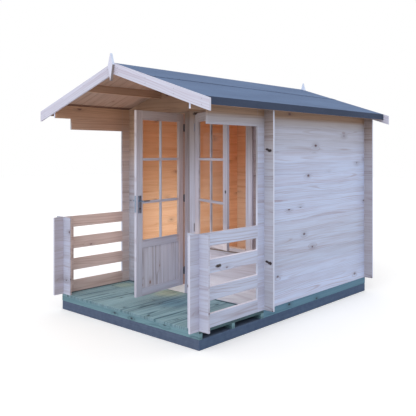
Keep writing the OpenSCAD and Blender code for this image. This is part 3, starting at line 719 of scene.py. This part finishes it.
# ---- Barge boards and finials -------------------------------------------------------------
# Planed spruce boards screwed over the ends of the purlins, front and back, cut plumb where
# they meet; a kite-shaped finial with eased edges covers each joint.
trim_wood = timber("planed_spruce_barge_boards", "XZY", 0.2, -0.1,
                   [(None, "#C9CBDD", "#B3AABC")], ("#8F7478", 0.26, 0.6, 0.013),
                   ends=("#C9CBDD",), turned=((0, 0, 0), (0, pitch, 0)), fold=True,
                   roughness=0.58, seed=61)
coat_nodes(trim_wood, "barge_boards_front", "barge_boards_back")
zinc = drab_metal("zinc_plated_screws", "#8A8E96", "#B4B8C0", 0.42, 0.003)
barge_low, barge_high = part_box("barge_boards_front")
back_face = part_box("barge_boards_back")[1].y
screws = []
for outward, face_y in ((-1, barge_low.y), (1, back_face)):
    for x in (0.075, 0.447, 0.80, 1.115):
        for drop in (0.030, 0.076):              # two at each purlin, down the board's width
            z = barge_high.z - x * fall / roof_high.x - drop
            screws.append(stud("barge_screw", (x, face_y - outward * 0.0002, z),
                               (0, outward, 0), 0.0010, 0.0016))


def joined(name, parts):
    """Makes several pieces one, under a name."""
    bpy.ops.object.select_all(action="DESELECT")
    for part in parts:
        part.select_set(True)
    bpy.context.view_layer.objects.active = parts[0]
    if len(parts) > 1:
        bpy.ops.object.join()
    parts[0].name = parts[0].data.name = name
    return parts[0]


barge_screws = mirrored(joined("barge_screws", screws))
fit(barge_screws, zinc, "cabin", "hinge_metal")

finial_low, finial_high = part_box("finials")
finial_thick = 0.027
half_kite, widest_z = finial_high.x, ridge_high.z - 0.022

# The sawn edges of a finial: a painted highlight on those above its widest point, painted
# shade on those below it
kite_edges = slab("Y", finial_low.y + 0.0015, finial_high.y - 0.0015)
lit_kite_edges = both(kite_edges, slab("Z", widest_z, 3.0))
shaded_kite_edges = both(kite_edges, slab("Z", 2.0, widest_z))

bpy.ops.object.select_all(action="DESELECT")
bpy.ops.mesh.primitive_circle_add(vertices=4, radius=half_kite, fill_type="NGON",
                                  location=(0, finial_low.y, widest_z), rotation=(pi / 2, 0, 0))
kite = settled("gable_finials")
for side, reach in ((1, finial_high.z - widest_z - half_kite),
                    (-1, widest_z - half_kite - finial_low.z)):
    take(kite, "VERT")
    for point in kite.data.vertices:
        point.select = side * (point.co.z - widest_z) > half_kite / 2
    bpy.ops.object.mode_set(mode="EDIT")
    bpy.ops.transform.translate(value=(0, 0, side * reach))
    bpy.ops.object.mode_set(mode="OBJECT")
bpy.ops.object.mode_set(mode="EDIT")
bpy.ops.mesh.select_all(action="SELECT")
bpy.ops.mesh.extrude_region_move(TRANSFORM_OT_translate={"value": (0, finial_thick, 0)})
bpy.ops.mesh.select_all(action="SELECT")
bpy.ops.mesh.normals_make_consistent(inside=False)
bpy.ops.mesh.bevel(offset=0.001, segments=2, affect="EDGES")
bpy.ops.object.mode_set(mode="OBJECT")
repeat(kite, 2, (0, finial_high.y - finial_thick - finial_low.y, 0))
kite_wood = timber("planed_spruce_finials", "ZXY", 0.2, -0.1,
                   [(None, "#CFD3E6", "#BDB8CA"), (lit_kite_edges, "#D6E2F8", "#C0CBE2"),
                    (shaded_kite_edges, "#8F8684", "#70666A")], ("#8B6E73", 0.4, 0.2, 0.008),
                   roughness=0.58, seed=67)
fit(kite, kite_wood, "cabin", "trim", "finials")


# ---- Door and window frames ---------------------------------------------------------------
# Rebated spruce jambs, posts, heads, threshold and sill, nailed through the log ends. They
# stand proud of the wall, and the leaves close against their stops.
sill_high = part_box("window_sill")[1]
jamb_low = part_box("door_jambs")[0]

# The frames are paler on the veranda side up to the sill, and the window's own frame the most.
# The hinge jamb is browner, and so is the strip over its joint with the post, up to the dark
# line along its edge. The sill's top catches light, painted on it, and the threshold is painted
# pale. Higher up the frames are painted browner, as the roof's shade, and honey in the room,
# for its warm light.
low_jambs = in_porch(1.0, 0.0, 0.62, 0.92)
sill_side = both(low_jambs, slab("X", 0.092, 1.0))
door_jamb = slab("X", -0.06, 0.020)
post_joint = both(slab("X", 0.018, 0.026), slab("Y", -0.57, -0.55))
sill_top = slab("Z", sill_high.z - 0.004, sill_high.z + 0.004)
threshold_tread = slab("Z", 0.15, 0.25)
frame_tones = [(None, "#CCCDE0", "#ABA3B2"), (door_jamb, "#B9B0BB", "#9A8F99"),
               (low_jambs, "#BCC0D7", "#A29CAB"), (sill_side, "#EBDFE2", "#CBB5B4"),
               (rising("Z", 1.2, 2.0, 0.95), "#A3928C", "#836F67"),
               (rising("Z", 1.94, 2.03, 0.8), "#9B826E", "#786150")]
frame_knot = ("#5E4440", 0.45, 0.3, 0.012)
# dark_mark paints a dark dash over the top of the sash's hinge end and the post beside it.
dark_mark = (((0.118, -0.585, 2.031), (0.046, 0.040, 0.017)),)
upright_wood = timber("planed_spruce_frame_uprights", "ZXY", 0.09, -1.0,
                      frame_tones + [(post_joint, "#6E5A55", "#5A4640"), (in_room, *honey)],
                      frame_knot, large=dark_mark, seed=71)
level_wood = timber("planed_spruce_frame_heads", "XZY", 0.09, 0.05,
                    frame_tones + [(in_room, *honey), (sill_top, "#F6E6DA", "#EBD3C2"),
                                   (threshold_tread, "#FBF5FA", "#E8DCE0")],
                    frame_knot, large=dark_mark, seed=77)
coat_nodes(upright_wood, "door_jambs", "window_posts")
coat_nodes(level_wood, "frame_heads", "door_threshold", "window_sill")

strike_x = jamb_low.x + 0.045
steel = drab_metal("satin_stainless_steel", "#77859B", "#97A5BA", 0.38, 0.02)
lever_z, leaf_thick, pin_proud = 1.167, 0.028, 0.006
pin_y = jamb_low.y - pin_proud
strike = block("strike_plate", (strike_x - 0.001, pin_y + 0.010, 1.06),
               (strike_x + 0.0006, pin_y + 0.030, 1.22), 0.0003)
fit(strike, steel, "cabin", "handle_metal")


# ---- Sash ---------------------------------------------------------------------------------
# The casement: two stiles with the rails tenoned between them, a pane with thin glazing bars
# planted on both faces and quarter beads round it. It is fixed, standing a little open.
def leaf_block(name, side, pin_x, span, rise, deep, ease, steps=1):
    """A block in a closed leaf. span is measured from the pins, rise is the heights, and deep
    is measured inwards from the leaf's outer face."""
    ends = sorted(pin_x + side * a for a in span)
    return block(name, (ends[0], pin_y + pin_proud + deep[0], rise[0]),
                 (ends[1], pin_y + pin_proud + deep[1], rise[1]), ease, steps)


def swing(piece, pin_x, angle):
    """Turns a piece about its leaf's pins, from where it closes to where it stands open."""
    bpy.ops.object.select_all(action="DESELECT")
    piece.select_set(True)
    bpy.context.view_layer.objects.active = piece
    bpy.ops.transform.rotate(value=-angle, orient_axis="Z", center_override=(pin_x, pin_y, 0))
    bpy.ops.object.transform_apply(location=True, rotation=True, scale=True)


def glazing(side, pin_x, span, rise, cross_rails, glass_thick=0.004):
    """The bars and beads of one pane: upright parts and level parts, on both faces."""
    bead, bar, rail = 0.009, 0.020, 0.025
    near = (leaf_thick - glass_thick) / 2
    middle = (span[0] + span[1]) / 2
    uprights, levels = [], []
    for deep in ((0.003, near), (leaf_thick - near, leaf_thick - 0.003)):
        for a0, a1 in ((span[0], span[0] + bead), (span[1] - bead, span[1]),
                       (middle - bar / 2, middle + bar / 2)):
            uprights.append(leaf_block("glazing_upright", side, pin_x, (a0, a1), rise, deep,
                                       0.002))
        for z0, z1 in ((rise[0], rise[0] + bead), (rise[1] - bead, rise[1])):
            levels.append(leaf_block("glazing_level", side, pin_x,
                                     (span[0] + bead, span[1] - bead), (z0, z1), deep, 0.002))
        for z in cross_rails:
            for a0, a1 in ((span[0] + bead, middle - bar / 2), (middle + bar / 2, span[1] - bead)):
                levels.append(leaf_block("glazing_level", side, pin_x, (a0, a1),
                                         (z - rail / 2, z + rail / 2), deep, 0.002))
    return uprights, levels


cross_rails = (1.151, 1.5645)
leaf_top = 2.035
sash_pin, sash_open = 0.100, -radians(20)
sash_near, sash_far, sash_foot = 0.003, 0.665, 0.713
sash_stile, sash_rail, top_rail = 0.070, 0.077, 0.081
sash_light = (sash_near + sash_stile, sash_far - sash_stile)
sash_rise = (sash_foot + sash_rail, leaf_top - top_rail)
uprights, levels = glazing(1, sash_pin, sash_light, sash_rise, cross_rails)
for span in ((sash_near, sash_light[0]), (sash_light[1], sash_far)):
    uprights.append(leaf_block("sash_stile", 1, sash_pin, span, (sash_foot, leaf_top),
                               (0, leaf_thick), 0.0015))
for rise in ((sash_foot, sash_rise[0]), (sash_rise[1], leaf_top)):
    levels.append(leaf_block("sash_rail", 1, sash_pin, sash_light, rise, (0, leaf_thick), 0.0015))

# The hinge stile is paler up to the height where the roof shades it, and the free edge of the
# sash is turned away from the light.
sash_hinge_side = both(spot(sash_pin, pin_y, 0.06, 0.11), rising("Z", 1.65, 1.30))
sash_free_edge = outside(spot(sash_pin, pin_y, sash_far - 0.0006, sash_far - 0.0002))
# The sash is also painted paler near its foot, and browner towards its top as the roof's shade.
sash_tones = [(None, "#BDB9C8", "#9F94A0"), (sash_hinge_side, "#D4D0E0", "#B3A8B4"),
              (in_porch(1.0, 0.0, 0.78, 0.98), "#EEE4EA", "#D3C3C8"),
              (rising("Z", 1.4, 2.05, 0.7), "#AB9B93", "#8A7870"),
              (sash_free_edge, "#9F9BA9", "#857C88")]
sash_uprights, sash_levels = joined("sash_uprights", uprights), joined("sash_levels", levels)
turn = ((sash_pin, pin_y, 0), (0, 0, sash_open))
stile_mark = (((0.704, pin_y - 0.214, 1.262), (0.017, 0.014, 0.018)),)
stile_wood = timber("planed_spruce_sash_stiles", "ZXY", 0.3, -0.05, sash_tones, frame_knot,
                    large=dark_mark + stile_mark, turned=turn, seed=83)
rail_wood = timber("planed_spruce_sash_rails", "XZY", 0.2, 0.1, sash_tones, frame_knot,
                   large=dark_mark, turned=turn, seed=89)
for part, wood in ((sash_uprights, stile_wood), (sash_levels, rail_wood)):
    swing(part, sash_pin, sash_open)
    fit(part, wood, "cabin", "joinery", "sash_frame")

hinge_clear = 0.042                              # half a hinge's height and a little air
lower_hinge, upper_hinge = 0.862, 1.888
strips = [block("sash_strip", (sash_pin - 0.0035, pin_y + 0.0035, low),
                (sash_pin + 0.0035, pin_y + 0.012, high), 0.001)
          for low, high in ((sash_foot + 0.01, lower_hinge - hinge_clear),
                            (lower_hinge + hinge_clear, upper_hinge - hinge_clear),
                            (upper_hinge + hinge_clear, leaf_top - 0.01))]
sash_strip = joined("sash_weather_strip", strips)
fit(sash_strip, upright_wood, "cabin", "joinery")


def window_glass():
    """Float glass: clear, with the faint green of its iron, a smooth face with a slight
    waviness, and letting the lamps through."""
    material, tree, shader = finish_of("clear_float_glass", 0.02, ior=1.12)
    shader.inputs["Transmission Weight"].default_value = 1.0
    shader.inputs["Base Color"].default_value = linear("#F1F6F4")
    place = add(tree, "TexCoord").outputs["Object"]
    wave = add(tree, "TexNoise", {"Vector": place, "Scale": 6.0, "Detail": 1.0})
    wave = add(tree, "Bump", {"Height": wave, "Strength": 0.02, "Distance": 0.002})
    tree.links.new(wave.outputs[0], shader.inputs["Normal"])
    ray = add(tree, "LightPath")
    clear = add(tree, "BsdfTransparent")
    mixed = add(tree, "MixShader", {0: ray.outputs["Is Shadow Ray"], 1: shader, 2: clear})
    tree.links.new(mixed.outputs[0], tree.nodes["Material Output"].inputs["Surface"])
    return material


coat_nodes(window_glass(), "sash_glass", "door_glass")


# ---- Door leaf ----------------------------------------------------------------------------
# Framed and half glazed: stiles, three rails, a panel of upright tongued boards below, and a
# pane with thin bars above. It hangs on three hinges and stands open, across the veranda.
door_pin, door_open = -0.047, radians(96)
door_near, door_far, door_foot = 0.003, 0.717, 0.253
hinge_stile, lock_stile, bottom_rail = 0.068, 0.084, 0.072
# The stile by the pins is painted browner for the room's warm light reflected on it, and the leaf
# browner towards its top as the roof's shade.
glow_by_pins = both(spot(door_pin, pin_y, 0.07, 0.14), rising("Z", 0.10, 0.90))   # a browner stile
leaf_tones = [(None, "#CCCFE1", "#ACA6B4"), (glow_by_pins, "#DECBCC", "#B89E9C"),
              (rising("Z", 1.3, 2.05, 0.8), "#B7A49B", "#958078")]
door_light = (door_near + hinge_stile, door_far - lock_stile)
glass_rise = (0.778, leaf_top - top_rail)
panel_rise = (door_foot + bottom_rail, 0.713)
panel_deep = (0.007, 0.021)
uprights, levels = glazing(-1, door_pin, door_light, glass_rise, cross_rails)
for span in ((door_near, door_light[0]), (door_light[1], door_far)):
    uprights.append(leaf_block("door_stile", -1, door_pin, span, (door_foot, leaf_top),
                               (0, leaf_thick), 0.0015))
for rise in ((door_foot, panel_rise[0]), (panel_rise[1], glass_rise[0]),
             (glass_rise[1], leaf_top)):
    levels.append(leaf_block("door_rail", -1, door_pin, door_light, rise, (0, leaf_thick), 0.0015))
panel_count = 6
panel_pitch = (door_light[1] - door_light[0]) / panel_count
panel = leaf_block("door_boards", -1, door_pin, (door_light[1] - panel_pitch, door_light[1]),
                   panel_rise, panel_deep, 0.003)
repeat(panel, panel_count, (panel_pitch, 0, 0))
door_uprights, door_levels = joined("door_uprights", uprights), joined("door_levels", levels)
turn = ((door_pin, pin_y, 0), (0, 0, door_open))
stile_wood = timber("planed_spruce_door_stiles", "ZXY", 0.35, -0.75, leaf_tones, frame_knot,
                    turned=turn, seed=97)
rail_wood = timber("planed_spruce_door_rails", "XZY", 0.3, 0.1, leaf_tones, frame_knot,
                   turned=turn, seed=101)
board_wood = timber("planed_spruce_door_boards", "ZXY", panel_pitch, -door_light[1],
                    [(None, "#D9DAEA", "#AAA2AC")], ("#8F6C5E", 0.22, 0.7, 0.016), lines=1.0,
                    turned=turn, seed=103)
for part, wood, node in ((door_uprights, stile_wood, "door_frame"),
                         (door_levels, rail_wood, "door_frame"),
                         (panel, board_wood, "door_panel")):
    swing(part, door_pin, door_open)
    fit(part, wood, "door", "joinery", node)


def rubber():
    """Extruded rubber: brown, with a soft dull sheen and a faint bloom."""
    material, tree, shader = finish_of("brown_rubber_seal", 0.6)
    place = add(tree, "TexCoord").outputs["Object"]
    bloom = add(tree, "TexNoise", {"Vector": place, "Scale": 40.0, "Detail": 3.0})
    colour = add(tree, "Mix", {0: bloom, 6: linear("#96756B"), 7: linear("#B09087")},
                 data_type="RGBA")
    tree.links.new(colour.outputs[2], shader.inputs["Base Color"])
    return material


seals = []
door_hinges = (0.400, 1.155, upper_hinge)
for low, high in zip((door_foot + 0.004,) + tuple(z + hinge_clear for z in door_hinges),
                     tuple(z - hinge_clear for z in door_hinges) + (leaf_top - 0.001,)):
    bead = rod("seal_bead", 16, 0.0052, high - low, (door_pin, pin_y, (low + high) / 2))
    ease_rim(bead, (0, 0, 1), 0.0012, 2)
    ease_rim(bead, (0, 0, -1), 0.0012, 2)
    foot = leaf_block("seal_foot", -1, door_pin, (0.0, 0.008), (low + 0.0005, high - 0.0005),
                      (-0.0045, 0.0), 0.0005)
    swing(foot, door_pin, door_open)
    seals += [bead, foot]
door_seal = joined("door_hinge_seal", seals)
fit(door_seal, rubber(), "door", "joinery")


# ---- Hinges, handles and lock -------------------------------------------------------------
# Dark painted butt hinges; a satin steel lever on a long plate on each face of the door, with
# a keyhole below it, and the lock's faceplate let into the free edge.
dark_paint = drab_metal("dark_satin_hinge_paint", "#262A31", "#3D434C", 0.45, 0.02)
coat_nodes(dark_paint, "hinge_frame_halves", "hinge_door_halves")
coat_nodes(drab_metal("zinc_plated_sash_hinges", "#8E8B96", "#B0ADB6", 0.5, 0.01), "sash_hinges")

handle_a, plate_half, plate_thick = 0.673, 0.023, 0.004
handle_x, keyhole_z = door_pin - handle_a, 1.098
plate_rise, lock_rise = (1.052, 1.218), (1.06, 1.22)
metal, dark = [], []
for out, face in ((-1, 0.0), (1, leaf_thick)):
    deep = sorted((face, face + out * plate_thick))
    metal.append(leaf_block("handle_plate", -1, door_pin,
                            (handle_a - plate_half, handle_a + plate_half), plate_rise, deep,
                            0.0012, 2))
    face_y = pin_y + pin_proud + face + out * plate_thick
    neck = rod("lever_neck", 24, 0.008, 0.040, (handle_x, face_y + out * 0.020, lever_z),
               (pi / 2, 0, 0))
    pick_faces(neck, (0, -out, 0))
    bpy.ops.mesh.extrude_region_move(TRANSFORM_OT_translate={"value": (0, out * 0.003, 0)})
    bpy.ops.object.mode_set(mode="OBJECT")
    lever = rod("lever", 24, 0.0078, 0.096, (handle_x + 0.042, face_y + out * 0.044, lever_z),
                (0, pi / 2, 0))
    pick_faces(lever, (1, 0, 0))
    bpy.ops.transform.resize(value=(1, 0.8, 0.8))
    bpy.ops.object.mode_set(mode="OBJECT")
    ease_rim(lever, (1, 0, 0), 0.0025, 3)
    ease_rim(lever, (-1, 0, 0), 0.003, 3)
    metal += [neck, lever]
    hole = rod("keyhole", 20, 0.0065, 0.003, (handle_x, face_y + out * 0.0005, keyhole_z),
               (pi / 2, 0, 0))
    sink(hole, (0, out, 0), 0.0015, 0.001)
    dark += [hole, block("keyhole_slot", (handle_x - 0.0035, face_y - 0.001, keyhole_z - 0.015),
                         (handle_x + 0.0035, face_y + 0.001, keyhole_z - 0.004), 0.0008)]
metal.append(leaf_block("lock_faceplate", -1, door_pin, (door_far - 0.001, door_far + 0.0006),
                        lock_rise, (0.004, 0.024), 0.0003))
metal.append(leaf_block("latch_bolt", -1, door_pin, (door_far - 0.001, door_far + 0.0025),
                        (lever_z - 0.008, lever_z + 0.008), (0.009, 0.019), 0.0008))
handles, keyholes = joined("door_levers", metal), joined("keyholes", dark)
keyway = drab_metal("blackened_keyway", "#121519", "#20242A", 0.6, 0.004)
for part in (handles, keyholes):
    swing(part, door_pin, door_open)
    bpy.ops.object.shade_smooth_by_angle(angle=radians(30))
fit(handles, steel, "door", "handle_metal", "door_handles")
fit(keyholes, keyway, "door", "handle_metal")


# ---- Studio -------------------------------------------------------------------------------
# A pale floor that keeps the cabin's shadow, an even pale surround, a large soft key lamp from
# the front left and a small one for the room, and the camera at the right front corner.
bpy.ops.object.select_all(action="DESELECT")
bpy.ops.mesh.primitive_plane_add(size=60)
ground = settled("studio_floor")


def seen(tree):
    """1 for what the camera sees straight, mirrored or through glass, 0 for what only lights."""
    ray = add(tree, "LightPath").outputs
    straight = add(tree, "Math", {0: ray["Is Camera Ray"], 1: ray["Is Glossy Ray"]},
                   operation="MAXIMUM")
    return add(tree, "Math", {0: straight, 1: ray["Is Transmission Ray"]}, operation="MAXIMUM")


paper, tree, shader = finish_of("white_studio_paper", 0.9)
shader.inputs["Base Color"].default_value = linear("#F4F4F4")
lift = add(tree, "Math", {0: seen(tree), 1: 0.22}, operation="MULTIPLY")
glow = add(tree, "Emission", {"Color": (1, 1, 1, 1), "Strength": lift})
both_lights = add(tree, "AddShader", {0: shader, 1: glow})
tree.links.new(both_lights.outputs[0], tree.nodes["Material Output"].inputs["Surface"])
coat(ground, paper)

world = bpy.data.worlds.new("studio_surround")
bpy.context.scene.world = world
world.use_nodes = True
tree = world.node_tree
level = add(tree, "MapRange", {"Value": seen(tree), "To Min": 0.82, "To Max": 1.0})
tree.links.new(level.outputs[0], tree.nodes["Background"].inputs["Strength"])
tree.nodes["Background"].inputs["Color"].default_value = (1, 1, 1, 1)

downwards = Vector((-0.30, 1.0, -0.75)).to_track_quat("-Z", "Y").to_euler()
bpy.ops.object.light_add(type="SUN", rotation=downwards)
key = bpy.context.object
key.data.energy, key.data.angle = 1.0, radians(50)
bpy.ops.object.light_add(type="POINT", location=(-0.15, 0.10, 0.72))
room_lamp = bpy.context.object
room_lamp.data.energy, room_lamp.data.shadow_soft_size = 17.0, 0.25
room_lamp.visible_camera = room_lamp.visible_glossy = room_lamp.visible_transmission = False

bpy.ops.object.camera_add(location=(4.2785, -4.9698, 1.6327), rotation=(pi / 2, 0, radians(42.184)))
camera = bpy.context.object
camera.data.lens, camera.data.sensor_width = 51.01, 36
camera.data.shift_y = -0.1338
bpy.context.scene.camera = camera
bpy.context.scene.view_settings.view_transform = "Standard"
